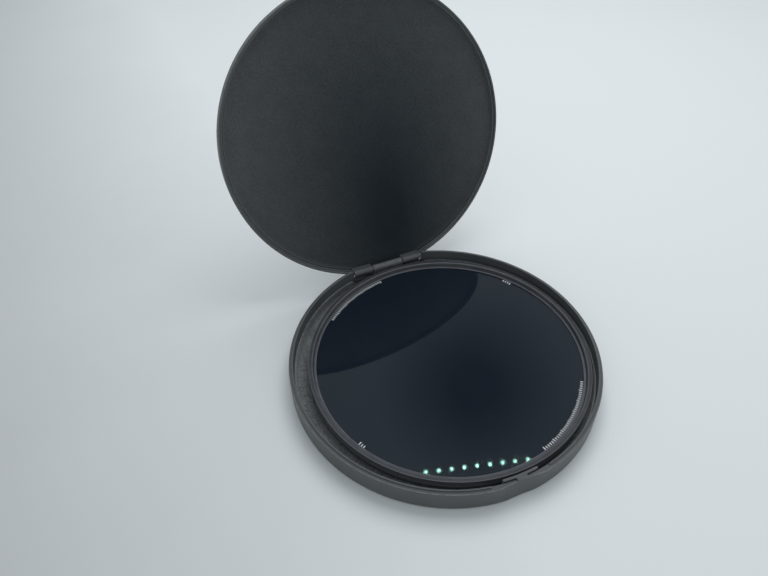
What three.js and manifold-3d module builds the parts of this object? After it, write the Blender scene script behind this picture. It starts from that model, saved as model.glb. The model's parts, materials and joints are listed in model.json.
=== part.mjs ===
// A screw-in circular polarising filter, 112 mm, lying in its round hinged case. The lid stands open.
// Millimetres. +Z is up, +Y points to the hinge, and the origin is the centre of the case's underside.
import * as THREE from "three";
import { mergeVertices } from "three/addons/utils/BufferGeometryUtils.js";
import Module from "manifold-3d";

const wasm = await Module();
wasm.setup();

// ---- Case: driving dimensions ----
const CASE_RADIUS = 63.0;
const BASE_HEIGHT = 10.4;
const WALL = 1.8;
const FLOOR = 0.9;
const FOOT_ROUND = 1.5;
const RIM_ROUND = 0.35;
const LIP_HEIGHT = 0.7;
const LIP_THICKNESS = 0.6;
const INNER_ROUND = 0.8;
const INNER_RADIUS = CASE_RADIUS - WALL;
const LIP_RADIUS = INNER_RADIUS + LIP_THICKNESS;

const LID_HEIGHT = 4.95;
const LID_PLATE = 1.3;
const LID_ROUND = 1.4;
const LID_LIP_WALL = 0.8;
const LID_STEP = 0.85;
const SHUT_GAP = 0.05;
const LID_BOTTOM = BASE_HEIGHT + SHUT_GAP;
const LID_TOP = LID_BOTTOM + LID_HEIGHT;
const LID_INNER_RADIUS = INNER_RADIUS + 0.1;

// ---- Hinge ----
const OPEN_DEGREES = 108.6;
const HINGE_Y = 59.8;
const HINGE_Z = BASE_HEIGHT - 1.8;
const BARREL_RADIUS = 1.55;
const PIN_RADIUS = 0.6;
const PIN_HOLE_RADIUS = 0.75;
const KNUCKLE_WIDTH = 14.4;
const KNUCKLE_WEB = 1.2;
const EAR_GAP = 0.35;
const EAR_WIDTH = 9.1;
const RELIEF_WIDTH = 34.0;
const RELIEF_FLOOR = 3.9;
const GROOVE_RADIUS = 3.65;
const GROOVE_END_RADIUS = 3.1;
const GROOVE_STEP = 11.2;
const SWING_GAP = 0.3;
const SWING_STEPS = [0, 6, 12, 18, 24];
const LID_NOTCH_HEIGHT = 1.3;

// ---- Latch ----
const TONGUE_RADIUS = 59.8;
const TONGUE_THICKNESS = 0.9;
const TONGUE_WIDTH = 13.6;
const TONGUE_FOOT = 4.3;
const TONGUE_TOP = BASE_HEIGHT + 0.9;
const SLOT_WIDTH = 4.1;
const POCKET_FLOOR = 4.0;
const POCKET_RADIUS = 61.1;
const HOOK_WIDTH = 4.0;
const HOOK_RADIUS = 62.0;
const HOOK_HEIGHT = 0.45;
const CATCH_WIDTH = 6.0;
const CATCH_RADIUS = 61.75;
const CATCH_HEIGHT = 0.25;
const THUMB_RADIUS = 83;
const THUMB_DEPTH_TOP = 1.1;
const THUMB_DEPTH_FOOT = 0.4;

// ---- Foam pads and the adhesive under them ----
const BASE_PAD_RADIUS = 60.9;
const LID_PAD_RADIUS = 61.1;
const PAD_THICKNESS = 1.0;
const PAD_EDGE = 0.6;
const PAD_EDGE_TOP = 6.4;
const PAD_COVE = 1.5;
const ADHESIVE = 0.1;
const ADHESIVE_MARGIN = 0.5;
const LAYER_GAP = 0.05;
const PAD_GAP = 0.3;

// ---- Filter: heights are above its own underside ----
const FILTER_X = 2.25;
const FILTER_Y = -0.15;
const FILTER_Z = FLOOR + ADHESIVE + PAD_THICKNESS + 0.1;
const RING_RADIUS = 57.5;
const THREAD_RADIUS = 56.0;
const THREAD_DEPTH = 0.45;
const THREAD_PITCH = 0.75;
const REAR_BORE = 55.0;
const THREAD_HEIGHT = 1.9;
const COLLAR_FLOOR = 2.2;
const COLLAR_BORE = 56.35;
const REAR_HEIGHT = 3.2;
const RING_CLEARANCE = 0.1;
const FILTER_HEIGHT = 5.9;
const SEAT_RADIUS = 53.6;
const SEAT_HEIGHT = 0.65;
const SEAT_WALL = 0.25;
const GLASS_RADIUS = 54.95;
const GLASS_THICKNESS = 0.5;
const FILM_THICKNESS = 0.1;
const GLASS_CLEARANCE = 0.1;
const WIRE = 0.4;
const WIRE_GAP = 0.05;
const WIRE_HEIGHT = 2.75;
const WIRE_SPLIT = THREE.MathUtils.degToRad(4);
const RETAINER_BORE = 54.4;
const RETAINER_RADIUS = 55.4;
const RETAINER_HEIGHT = 0.45;
const SPANNER_WIDTH = 1.2;
const SPANNER_DEPTH = 0.25;
const SPANNER_SLOTS = 2;

const SEGMENTS = 72;
const ARC_STEP = THREE.MathUtils.degToRad(1.5);
const FRONT = -Math.PI / 2;
const TALL = 40;

// ---- Solids ----

function solid(geometry) {
  const bare = geometry.index ? geometry.toNonIndexed() : geometry;
  const positions = new THREE.BufferGeometry();
  positions.setAttribute("position", bare.getAttribute("position"));
  const merged = mergeVertices(positions, 1e-4);
  return new wasm.Manifold(
    new wasm.Mesh({
      numProp: 3,
      vertProperties: new Float32Array(merged.attributes.position.array),
      triVerts: new Uint32Array(merged.index.array),
    }),
  );
}

function piece(name, body, material, parent) {
  const data = body.getMesh();
  const geometry = new THREE.BufferGeometry();
  geometry.setAttribute("position", new THREE.BufferAttribute(data.vertProperties, 3));
  geometry.setIndex(new THREE.BufferAttribute(data.triVerts, 1));
  const mesh = new THREE.Mesh(geometry, material);
  mesh.name = name;
  parent.add(mesh);
  return mesh;
}

// A profile of [radius, height] points, turned about Z.
function turned(profile, segments = SEGMENTS) {
  const points = profile.map(([radius, height]) => new THREE.Vector2(radius, height));
  const geometry = new THREE.LatheGeometry(points, segments);
  geometry.rotateX(Math.PI / 2);
  return solid(geometry);
}

// A ring or a disc with square edges. innerRadius 0 gives the disc.
function ring(innerRadius, outerRadius, low, high) {
  const outside = [
    [outerRadius, low],
    [outerRadius, high],
  ];
  const profile = [[innerRadius, low], ...outside, [innerRadius, high]];
  return turned(innerRadius > 0 ? [...profile, [innerRadius, low]] : profile);
}

// Points of a quarter round, from one angle to another about a centre in the (radius, height) plane.
function round(centreRadius, centreHeight, radius, from, to, steps = 3) {
  return Array.from({ length: steps + 1 }, (_, i) => {
    const angle = from + ((to - from) * i) / steps;
    return [centreRadius + radius * Math.cos(angle), centreHeight + radius * Math.sin(angle)];
  });
}

function arc(radius, from, to, centreY = 0) {
  const steps = Math.max(1, Math.ceil(Math.abs(to - from) / ARC_STEP));
  return Array.from({ length: steps + 1 }, (_, i) => {
    const angle = from + ((to - from) * i) / steps;
    return new THREE.Vector2(radius * Math.cos(angle), centreY + radius * Math.sin(angle));
  });
}

function raised(points, low, high) {
  const shape = new THREE.Shape(points);
  const geometry = new THREE.ExtrudeGeometry(shape, { depth: high - low, bevelEnabled: false });
  geometry.translate(0, 0, low);
  return solid(geometry);
}

// Part of a ring, reaching halfWidth each way from the middle angle along its inner arc.
function sector(innerRadius, outerRadius, middle, halfWidth, low, high) {
  const half = halfWidth / innerRadius;
  const outside = arc(outerRadius, middle - half, middle + half);
  const inside = arc(innerRadius, middle + half, middle - half);
  return raised([...outside, ...inside], low, high);
}

function block(xRange, yRange, zRange) {
  const size = [xRange, yRange, zRange].map(([low, high]) => high - low);
  const middle = [xRange, yRange, zRange].map(([low, high]) => (low + high) / 2);
  const geometry = new THREE.BoxGeometry(...size);
  geometry.translate(...middle);
  return solid(geometry);
}

// A round bar along X on the hinge axis.
function hingeBar(radius, from, to, sides = 20) {
  const geometry = new THREE.CylinderGeometry(radius, radius, to - from, sides);
  geometry.rotateZ(Math.PI / 2);
  geometry.translate((from + to) / 2, HINGE_Y, HINGE_Z);
  return solid(geometry);
}

// ---- Materials ----

function material(colour, roughness, metalness = 0) {
  return new THREE.MeshStandardMaterial({ color: colour, roughness, metalness });
}

const casePlastic = material(0x2a2c2e, 0.6);
const foam = material(0x333638, 1.0);
const adhesive = material(0xb8b4a6, 0.7);
const steel = material(0x9a9ca0, 0.35, 1);
const blackAluminium = material(0x2b2a30, 0.4, 0.8);
const glass = material(0x0c1218, 0.05);
const film = material(0x20242a, 0.3);

// ---- Case base ----

const QUARTER = Math.PI / 2;

function baseProfile() {
  return [
    [0, 0],
    ...round(CASE_RADIUS - FOOT_ROUND, FOOT_ROUND, FOOT_ROUND, -QUARTER, 0),
    [CASE_RADIUS, BASE_HEIGHT - RIM_ROUND],
    [CASE_RADIUS - RIM_ROUND, BASE_HEIGHT],
    [LIP_RADIUS, BASE_HEIGHT],
    [LIP_RADIUS - 0.1, BASE_HEIGHT + LIP_HEIGHT],
    [INNER_RADIUS, BASE_HEIGHT + LIP_HEIGHT],
    [INNER_RADIUS, FLOOR + INNER_ROUND],
    [INNER_RADIUS - INNER_ROUND, FLOOR],
    [0, FLOOR],
  ];
}

// The shallow scoop for a thumb: a wide upright cylinder leaning out towards the foot.
function thumbScoop() {
  const half = 0.2;
  const centreY = -(CASE_RADIUS - THUMB_DEPTH_TOP + THUMB_RADIUS);
  const face = arc(THUMB_RADIUS, QUARTER - half, QUARTER + half, centreY);
  const body = raised([...face, new THREE.Vector2(0, centreY)], -TALL, TALL);
  const lean = Math.atan((THUMB_DEPTH_TOP - THUMB_DEPTH_FOOT) / BASE_HEIGHT);
  return body
    .translate([0, CASE_RADIUS, -BASE_HEIGHT])
    .rotate([-THREE.MathUtils.radToDeg(lean), 0, 0])
    .translate([0, -CASE_RADIUS, BASE_HEIGHT]);
}

function latchBoss() {
  const half = TONGUE_WIDTH / 2 + SLOT_WIDTH;
  return sector(TONGUE_RADIUS, INNER_RADIUS + 0.2, FRONT, half, FLOOR / 2, BASE_HEIGHT);
}

function latchPocket() {
  const half = TONGUE_WIDTH / 2 + SLOT_WIDTH;
  const pocket = sector(TONGUE_RADIUS - 1, POCKET_RADIUS, FRONT, half, POCKET_FLOOR, TALL);
  const lipCut = sector(TONGUE_RADIUS - 1, LIP_RADIUS + 0.2, FRONT, half, BASE_HEIGHT, TALL);
  return pocket.add(lipCut);
}

// The straight wall under the hinge.
function hingeShelf() {
  const half = RELIEF_WIDTH / 2;
  const shelf = block([-half, half], [HINGE_Y - KNUCKLE_WEB, CASE_RADIUS], [FLOOR, HINGE_Z]);
  return shelf.intersect(ring(0, INNER_RADIUS + 0.2, 0, TALL));
}

// The outline of the lid, with a gap round it, over the last few degrees of its swing.
function lidSwing() {
  const outline = ring(0, CASE_RADIUS + SWING_GAP, LID_BOTTOM - SWING_GAP, LID_TOP);
  const places = SWING_STEPS.map((step) =>
    outline
      .translate([0, -HINGE_Y, -HINGE_Z])
      .rotate([step - OPEN_DEGREES, 0, 0])
      .translate([0, HINGE_Y, HINGE_Z]),
  );
  return places.reduce((left, place) => left.add(place));
}

// The room in which the lid's ears and rim swing: round about the axis, and deeper behind the knuckle.
function hingeRelief() {
  const half = RELIEF_WIDTH / 2;
  const middle = KNUCKLE_WIDTH / 2 + EAR_GAP + 0.1;
  const yRange = [HINGE_Y - 2.5, CASE_RADIUS + 2];
  return block([-middle, middle], yRange, [RELIEF_FLOOR, TALL])
    .add(block([-half, half], yRange, [HINGE_Z, TALL]))
    .add(hingeBar(GROOVE_RADIUS, -GROOVE_STEP, GROOVE_STEP, 48))
    .add(hingeBar(GROOVE_END_RADIUS, -half, half, 48))
    .add(lidSwing().intersect(block([-half, half], yRange, [0, TALL])));
}

function hingeKnuckle() {
  const half = KNUCKLE_WIDTH / 2;
  const inner = HINGE_Y - KNUCKLE_WEB;
  const web = block([-half, half], [inner, HINGE_Y + KNUCKLE_WEB], [FLOOR, HINGE_Z]);
  return hingeBar(BARREL_RADIUS, -half, half).add(web);
}

function baseShell() {
  return turned(baseProfile())
    .subtract(thumbScoop())
    .add(latchBoss())
    .subtract(latchPocket())
    .add(hingeShelf())
    .subtract(hingeRelief())
    .add(hingeKnuckle())
    .subtract(hingeBar(PIN_HOLE_RADIUS, -CASE_RADIUS, CASE_RADIUS));
}

function latchTongue() {
  const outer = TONGUE_RADIUS + TONGUE_THICKNESS;
  const blade = sector(TONGUE_RADIUS, outer, FRONT, TONGUE_WIDTH / 2, TONGUE_FOOT, TONGUE_TOP);
  const low = TONGUE_TOP - HOOK_HEIGHT;
  return blade.add(sector(outer - 0.1, HOOK_RADIUS, FRONT, HOOK_WIDTH / 2, low, TONGUE_TOP));
}

// ---- Pad in the base ----

const PAD_FOOT = FLOOR + ADHESIVE;

function basePadAdhesive() {
  return ring(0, BASE_PAD_RADIUS - ADHESIVE_MARGIN, FLOOR, PAD_FOOT);
}

// The pad is cut a little too wide for the tray, so its edge turns up against the wall in a hollow curve.
function basePad() {
  const face = PAD_FOOT + PAD_THICKNESS;
  const edge = BASE_PAD_RADIUS - PAD_EDGE;
  return turned([
    [0, PAD_FOOT],
    [BASE_PAD_RADIUS - INNER_ROUND, PAD_FOOT],
    [BASE_PAD_RADIUS, PAD_FOOT + INNER_ROUND],
    [BASE_PAD_RADIUS, PAD_EDGE_TOP],
    [edge, PAD_EDGE_TOP],
    ...round(edge - PAD_COVE, face + PAD_COVE, PAD_COVE, 0, -QUARTER),
    [0, face],
  ]);
}

// The pad and its adhesive stop short of the latch and of the straight wall under the hinge.
function trimmed(body) {
  const half = TONGUE_WIDTH / 2 + SLOT_WIDTH + PAD_GAP;
  const back = [HINGE_Y - KNUCKLE_WEB - PAD_GAP, CASE_RADIUS];
  return body
    .subtract(sector(TONGUE_RADIUS - PAD_GAP, CASE_RADIUS, FRONT, half, 0, TALL))
    .subtract(block([-CASE_RADIUS, CASE_RADIUS], back, [0, TALL]));
}

// ---- Case lid, drawn shut and then turned open about the hinge ----

function lidProfile() {
  const step = LID_BOTTOM + LID_STEP;
  return [
    [0, LID_TOP - LID_PLATE],
    [LID_INNER_RADIUS, LID_TOP - LID_PLATE],
    [LID_INNER_RADIUS, step],
    [CASE_RADIUS - LID_LIP_WALL, step],
    [CASE_RADIUS - LID_LIP_WALL, LID_BOTTOM],
    [CASE_RADIUS - RIM_ROUND, LID_BOTTOM],
    [CASE_RADIUS, LID_BOTTOM + RIM_ROUND],
    ...round(CASE_RADIUS - LID_ROUND, LID_TOP - LID_ROUND, LID_ROUND, 0, QUARTER),
    [0, LID_TOP],
  ];
}

function lidEar(side) {
  const near = KNUCKLE_WIDTH / 2 + EAR_GAP;
  const [from, to] = side > 0 ? [near, near + EAR_WIDTH] : [-near - EAR_WIDTH, -near];
  const yRange = [HINGE_Y - BARREL_RADIUS + 0.1, HINGE_Y + BARREL_RADIUS - 0.1];
  const web = block([from, to], yRange, [HINGE_Z, LID_BOTTOM + LID_STEP + 0.6]);
  return hingeBar(BARREL_RADIUS, from, to).add(web);
}

function lidCatch() {
  const high = LID_BOTTOM + CATCH_HEIGHT;
  const outer = CASE_RADIUS - LID_LIP_WALL / 2;
  return sector(CATCH_RADIUS, outer, FRONT, CATCH_WIDTH / 2, LID_BOTTOM, high);
}

function hookRoom() {
  const step = LID_BOTTOM + LID_STEP;
  const outer = CASE_RADIUS - LID_LIP_WALL;
  return sector(LID_INNER_RADIUS - 1, outer, FRONT, CATCH_WIDTH / 2, step - 0.1, step + 0.6);
}

function knuckleNotch() {
  const half = KNUCKLE_WIDTH / 2 + EAR_GAP;
  const high = LID_BOTTOM + LID_NOTCH_HEIGHT;
  return block([-half, half], [HINGE_Y - 3, CASE_RADIUS + 2], [LID_BOTTOM - 1, high]);
}

function lidShell() {
  const ears = lidEar(-1).add(lidEar(1)).intersect(ring(0, CASE_RADIUS, 0, LID_TOP));
  return turned(lidProfile())
    .subtract(knuckleNotch())
    .subtract(hookRoom())
    .add(lidCatch())
    .add(ears)
    .subtract(hingeBar(PIN_HOLE_RADIUS, -CASE_RADIUS, CASE_RADIUS));
}

// ---- Filter ----

// Thread grooves down one side of a ring, from the top of the thread to its foot.
function threadGrooves(crest, root, high, low) {
  const count = Math.floor((high - low) / THREAD_PITCH);
  return Array.from({ length: count }, (_, i) => {
    const top = high - i * THREAD_PITCH;
    return [
      [crest, top],
      [root, top - THREAD_PITCH * 0.5],
      [crest, top - THREAD_PITCH * 0.9],
    ];
  }).flat();
}

function rearRing() {
  const minor = THREAD_RADIUS - THREAD_DEPTH;
  const thread = threadGrooves(THREAD_RADIUS, minor, THREAD_HEIGHT, 0).reverse();
  const wireLow = WIRE_HEIGHT - WIRE / 2 - WIRE_GAP;
  const wireHigh = WIRE_HEIGHT + WIRE / 2 + WIRE_GAP;
  const groove = COLLAR_BORE + WIRE / 2 + WIRE_GAP;
  return turned([
    [REAR_BORE, 0],
    [minor, 0],
    ...thread,
    [RING_RADIUS, THREAD_HEIGHT],
    [RING_RADIUS, REAR_HEIGHT],
    [COLLAR_BORE, REAR_HEIGHT],
    [COLLAR_BORE, wireHigh],
    [groove, wireHigh],
    [groove, wireLow],
    [COLLAR_BORE, wireLow],
    [COLLAR_BORE, COLLAR_FLOOR],
    [REAR_BORE, COLLAR_FLOOR],
    [REAR_BORE, 0],
  ]);
}

const COLLAR_RADIUS = COLLAR_BORE - 1.5 * RING_CLEARANCE;
const COLLAR_LOW = COLLAR_FLOOR + RING_CLEARANCE;
const SPIGOT_RADIUS = REAR_BORE - 1.5 * RING_CLEARANCE;
const SEAT_TOP = COLLAR_LOW + SEAT_WALL;
const GLASS_LAYERS = 2 * GLASS_THICKNESS + 2 * FILM_THICKNESS;
const GLASS_TOP = SEAT_TOP + GLASS_LAYERS;
const RETAINER_TOP = GLASS_TOP + RETAINER_HEIGHT;

function frontRing() {
  const pocket = GLASS_RADIUS + GLASS_CLEARANCE;
  const wireLow = WIRE_HEIGHT - WIRE / 2 - WIRE_GAP;
  const wireHigh = WIRE_HEIGHT + WIRE / 2 + WIRE_GAP;
  const groove = COLLAR_BORE - WIRE / 2 - WIRE_GAP;
  const crest = THREAD_RADIUS - THREAD_DEPTH;
  const threadTop = FILTER_HEIGHT - 0.2;
  return turned([
    [SEAT_RADIUS, SEAT_TOP - SEAT_HEIGHT],
    [SPIGOT_RADIUS, SEAT_TOP - SEAT_HEIGHT],
    [SPIGOT_RADIUS, COLLAR_LOW],
    [COLLAR_RADIUS, COLLAR_LOW],
    [COLLAR_RADIUS, wireLow],
    [groove, wireLow],
    [groove, wireHigh],
    [COLLAR_RADIUS, wireHigh],
    [COLLAR_RADIUS, REAR_HEIGHT + RING_CLEARANCE],
    [RING_RADIUS, REAR_HEIGHT + RING_CLEARANCE],
    [RING_RADIUS, FILTER_HEIGHT],
    [THREAD_RADIUS, FILTER_HEIGHT],
    ...threadGrooves(crest, THREAD_RADIUS, threadTop, RETAINER_TOP - 0.3),
    [crest, GLASS_TOP],
    [pocket, GLASS_TOP],
    [pocket, SEAT_TOP],
    [SEAT_RADIUS, SEAT_TOP],
    [SEAT_RADIUS, SEAT_TOP - SEAT_HEIGHT],
  ]);
}

// The square spring wire, split so that it can be squeezed into its groove.
function snapRing() {
  const inner = COLLAR_BORE - WIRE / 2;
  const whole = ring(inner, inner + WIRE, WIRE_HEIGHT - WIRE / 2, WIRE_HEIGHT + WIRE / 2);
  const split = sector(inner - 1, inner + 2, Math.PI / 4, (inner * WIRE_SPLIT) / 2, 0, TALL);
  return whole.subtract(split);
}

function retainingRing() {
  const body = ring(RETAINER_BORE, RETAINER_RADIUS, GLASS_TOP, RETAINER_TOP);
  const low = RETAINER_TOP - SPANNER_DEPTH;
  const slots = Array.from({ length: SPANNER_SLOTS }, (_, i) => {
    const middle = Math.PI / 8 + (i * 2 * Math.PI) / SPANNER_SLOTS;
    return sector(RETAINER_BORE - 1, RETAINER_RADIUS + 1, middle, SPANNER_WIDTH / 2, low, TALL);
  });
  return slots.reduce((left, slot) => left.subtract(slot), body);
}

// ---- Assembly ----

const group = new THREE.Group();

piece("base_shell", baseShell(), casePlastic, group);
piece("latch_tongue", latchTongue(), casePlastic, group);
piece("base_pad_adhesive", trimmed(basePadAdhesive()), adhesive, group);
piece("base_foam_pad", trimmed(basePad()), foam, group);

const pin = hingeBar(PIN_RADIUS, -KNUCKLE_WIDTH / 2 - EAR_WIDTH, KNUCKLE_WIDTH / 2 + EAR_WIDTH);
piece("hinge_pin", pin, steel, group);

const lid = new THREE.Group();
const hinge = new THREE.Group();
hinge.position.set(0, HINGE_Y, HINGE_Z);
hinge.rotation.x = -THREE.MathUtils.degToRad(OPEN_DEGREES);
lid.position.set(0, -HINGE_Y, -HINGE_Z);
hinge.add(lid);
group.add(hinge);
piece("lid_shell", lidShell(), casePlastic, lid);
const lidAdhesiveTop = LID_TOP - LID_PLATE - LAYER_GAP;
const lidAdhesiveLow = lidAdhesiveTop - ADHESIVE;
const lidPadTop = lidAdhesiveLow - LAYER_GAP;
const lidAdhesive = ring(0, LID_PAD_RADIUS - ADHESIVE_MARGIN, lidAdhesiveLow, lidAdhesiveTop);
piece("lid_pad_adhesive", lidAdhesive, adhesive, lid);
piece("lid_foam_pad", ring(0, LID_PAD_RADIUS, lidPadTop - PAD_THICKNESS, lidPadTop), foam, lid);

const filter = new THREE.Group();
filter.position.set(FILTER_X, FILTER_Y, FILTER_Z);
group.add(filter);
piece("rear_ring", rearRing(), blackAluminium, filter);
piece("snap_ring", snapRing(), steel, filter);
piece("front_ring", frontRing(), blackAluminium, filter);
const stack = [
  ["rear_glass", GLASS_THICKNESS, glass],
  ["quarter_wave_film", FILM_THICKNESS, film],
  ["polarising_film", FILM_THICKNESS, film],
  ["front_glass", GLASS_THICKNESS, glass],
];
let layerLow = SEAT_TOP;
for (const [name, thickness, finish] of stack) {
  piece(name, ring(0, GLASS_RADIUS, layerLow, layerLow + thickness), finish, filter);
  layerLow += thickness;
}
piece("retaining_ring", retainingRing(), blackAluminium, filter);

export default group;
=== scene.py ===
"""The looks of a 112 mm circular polarising filter in its open round case, round the CAD frame.

Lengths are in millimetres until a mesh is made. The outer sizes come from the frame's boxes and
joints. The walls, steps and rounds that no box can give are named below. Angles go round +Z, with
-90 degrees in front.
"""
import json
import math

import bpy
import numpy as np
from mathutils import Matrix, Vector, noise


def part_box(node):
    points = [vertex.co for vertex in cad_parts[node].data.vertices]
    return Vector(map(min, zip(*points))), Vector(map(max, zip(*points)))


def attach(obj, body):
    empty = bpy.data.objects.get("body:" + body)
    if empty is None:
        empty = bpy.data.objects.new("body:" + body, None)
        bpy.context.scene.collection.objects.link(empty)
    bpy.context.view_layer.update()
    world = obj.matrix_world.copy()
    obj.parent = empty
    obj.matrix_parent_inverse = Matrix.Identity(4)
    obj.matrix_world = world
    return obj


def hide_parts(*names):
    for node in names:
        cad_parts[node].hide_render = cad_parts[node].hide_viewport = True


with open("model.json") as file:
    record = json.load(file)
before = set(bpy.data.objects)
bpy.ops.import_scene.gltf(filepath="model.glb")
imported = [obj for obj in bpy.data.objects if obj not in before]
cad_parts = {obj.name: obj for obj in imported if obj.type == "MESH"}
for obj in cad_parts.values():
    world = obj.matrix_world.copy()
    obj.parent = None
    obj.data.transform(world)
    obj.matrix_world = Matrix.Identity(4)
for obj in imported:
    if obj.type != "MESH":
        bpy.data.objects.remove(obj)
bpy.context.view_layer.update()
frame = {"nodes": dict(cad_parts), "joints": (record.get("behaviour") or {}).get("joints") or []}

MM = 0.001
FULL_TURN = 2 * math.pi
FRONT = -math.pi / 2
BACK = math.pi / 2


def span(node):
    """The lowest and highest corner of a CAD node, in mm."""
    low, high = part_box(node)
    return low / MM, high / MM


# ---- Case base ----
BASE_HIGH = span("base_shell")[1]
CASE_RADIUS = BASE_HIGH.x
LIP_HEIGHT = 0.7
BASE_HEIGHT = BASE_HIGH.z - LIP_HEIGHT
WALL = 1.8
FLOOR = 0.9
LIP_THICKNESS = 0.6
LIP_TAPER = 0.1
FOOT_ROUND = 1.5
RIM_ROUND = 0.35
EDGE_ROUND = 0.12
INNER_ROUND = 0.8
# The least step that keeps two points of an outline apart.
HAIR = 0.02
INNER_RADIUS = CASE_RADIUS - WALL
LIP_RADIUS = INNER_RADIUS + LIP_THICKNESS
PANEL_RADIUS = 56.0
PANEL_DEPTH = 0.2
THUMB_RADIUS = 83.0
THUMB_DEPTH_TOP = 1.1
THUMB_DEPTH_FOOT = 0.4
THUMB_BLEND = 0.15
THUMB_REACH = 0.5

# ---- Latch ----
TONGUE_LOW, TONGUE_HIGH = span("latch_tongue")
TONGUE_RADIUS = 59.8
TONGUE_THICKNESS = 0.9
TONGUE_HALF = TONGUE_HIGH.x / TONGUE_RADIUS
TONGUE_BEVEL = 0.35
SLOT_WIDTH = 4.1
LATCH_HALF = (TONGUE_HIGH.x + SLOT_WIDTH) / (TONGUE_RADIUS - 1)
POCKET_FLOOR = 4.0
POCKET_RADIUS = 61.1
POCKET_LIP = 0.15
LEDGE_DROP = 0.6
HOOK_RADIUS = -TONGUE_LOW.y
HOOK_HEIGHT = 0.45
HOOK_HALF = 2.0 / TONGUE_RADIUS
CATCH_HALF = 3.0 / INNER_RADIUS
CATCH_RADIUS = 61.75
CATCH_HEIGHT = 0.25

# ---- Hinge ----
LID_JOINT = next(joint for joint in frame["joints"] if joint["name"] == "lid_hinge")
HINGE_Y = LID_JOINT["pos_m"][1] / MM
HINGE_Z = LID_JOINT["pos_m"][2] / MM
OPEN_ANGLE = -math.radians(LID_JOINT["range_deg"][0])
BARREL_RADIUS = 1.55
PIN_LOW, PIN_HIGH = span("hinge_pin")
PIN_RADIUS = (PIN_HIGH.z - PIN_LOW.z) / 2
PIN_HOLE_RADIUS = 0.75
KNUCKLE_HALF = 7.2
KNUCKLE_WEB = 1.2
# How much the knuckle's face is lightened: partly scuffing, partly painted highlight of the lit
# barrel.
KNUCKLE_SCUFF_AND_HIGHLIGHT = 0.3
EAR_GAP = 0.35
EAR_WIDTH = PIN_HIGH.x - KNUCKLE_HALF
RELIEF_WIDTH = 34.0
RELIEF_HALF = math.asin(RELIEF_WIDTH / 2 / INNER_RADIUS)
RELIEF_FLOOR = 3.9
GROOVE_RADIUS = 3.65
GROOVE_END_RADIUS = 3.1
GROOVE_STEP = 11.2
SWING_GAP = 0.3
SHELF_WALL = 0.8
STEP_SOFT = 0.4
BARREL_BEVEL = 0.22
EAR_ROOT = 0.6
EAR_WEB = BARREL_RADIUS - 0.1

# ---- Case lid, in the place where it is shut ----
LID_GAP = 0.05
LID_HEIGHT = 4.95
LID_BOTTOM = BASE_HEIGHT + LID_GAP
LID_TOP = LID_BOTTOM + LID_HEIGHT
LID_PLATE = 1.3
LID_ROUND = 1.4
LID_LIP_WALL = 0.8
LID_STEP = 0.85
LID_INNER_RADIUS = INNER_RADIUS + 0.1
NOTCH_HALF = (KNUCKLE_HALF + EAR_GAP) / (CASE_RADIUS - LID_LIP_WALL)
NOTCH_HEIGHT = 1.3
HOOK_ROOM = 0.6
LID_COVE = 0.4

# ---- Foam pads ----
PAD_LOW, PAD_HIGH = span("base_foam_pad")
PAD_BACK = PAD_LOW.z
PAD_EDGE_TOP = PAD_HIGH.z
PAD_THICKNESS = 1.0
PAD_GAP = 0.3
PAD_EDGE = 0.6
PAD_COVE = 1.5
PAD_SINK = 0.03
PAD_EDGE_ROUND = 0.25
WALL_GAP = 0.03
FOAM_WAVE = 9.0
FOAM_WAVE_RISE = 0.035
FOAM_CELL = 0.9
FOAM_CELL_RISE = 0.022
TAPE_ROOM = 0.2
LID_PAD_BACK = LID_TOP - LID_PLATE - TAPE_ROOM
LID_PAD_LIFT = 1.2
# Painted shade: an oval in the lid's foam, between its middle and the hinge, painted darker and
# with less sheen.
SHADE_OVAL_SPOT = Vector((6, 38, LID_TOP))
SHADE_OVAL_STRETCH = Vector((1.3, 0.62, 0.62))
SHADE_OVAL_NEAR = 8
SHADE_OVAL_FAR = 88
SHADE_OVAL_LEAST = 0.18

# ---- Filter: heights are above the underside of the rear ring ----
REAR_LOW, REAR_HIGH = span("rear_ring")
FRONT_LOW, FRONT_HIGH = span("front_ring")
GLASS_LOW, GLASS_HIGH = span("front_glass")
RETAINER_LOW, RETAINER_HIGH = span("retaining_ring")
FILTER_CENTRE = Vector(((REAR_LOW.x + REAR_HIGH.x) / 2, (REAR_LOW.y + REAR_HIGH.y) / 2, REAR_LOW.z))
RING_RADIUS = (REAR_HIGH.x - REAR_LOW.x) / 2
REAR_HEIGHT = REAR_HIGH.z - REAR_LOW.z
FILTER_HEIGHT = FRONT_HIGH.z - REAR_LOW.z
SEAT_LOW = FRONT_LOW.z - REAR_LOW.z
GLASS_RADIUS = (GLASS_HIGH.x - GLASS_LOW.x) / 2
GLASS_TOP = GLASS_HIGH.z - REAR_LOW.z
RETAINER_TOP = RETAINER_HIGH.z - REAR_LOW.z
RETAINER_RADIUS = (RETAINER_HIGH.x - RETAINER_LOW.x) / 2
RETAINER_BORE = 54.4
RETAINER_CHAMFER = 0.12
THREAD_RADIUS = 56.0
THREAD_DEPTH = 0.45
THREAD_PITCH = 0.75
THREAD_HEIGHT = 1.9
THREAD_CHAMFER = 0.3
REAR_BORE = 55.0
COLLAR_FLOOR = 2.2
COLLAR_BORE = 56.35
RING_CLEARANCE = 0.1
WIRE_LOW, WIRE_HIGH = span("snap_ring")
WIRE_BOTTOM = WIRE_LOW.z - REAR_LOW.z
WIRE_TOP = WIRE_HIGH.z - REAR_LOW.z
WIRE_REACH = (WIRE_TOP - WIRE_BOTTOM) / 2
WIRE_GAP = 0.05
WIRE_ROOM = 0.15
SEAT_RADIUS = 53.6
SEAT_WALL = 0.25
RING_EDGE = 0.14
RING_FILLET = 0.05
KNURL_RIBS = 360
KNURL_DEPTH = 0.09
KNURL_FOOT = 0.3
KNURL_HEAD = 0.35
KNURL_RAMP = 0.1
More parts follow.
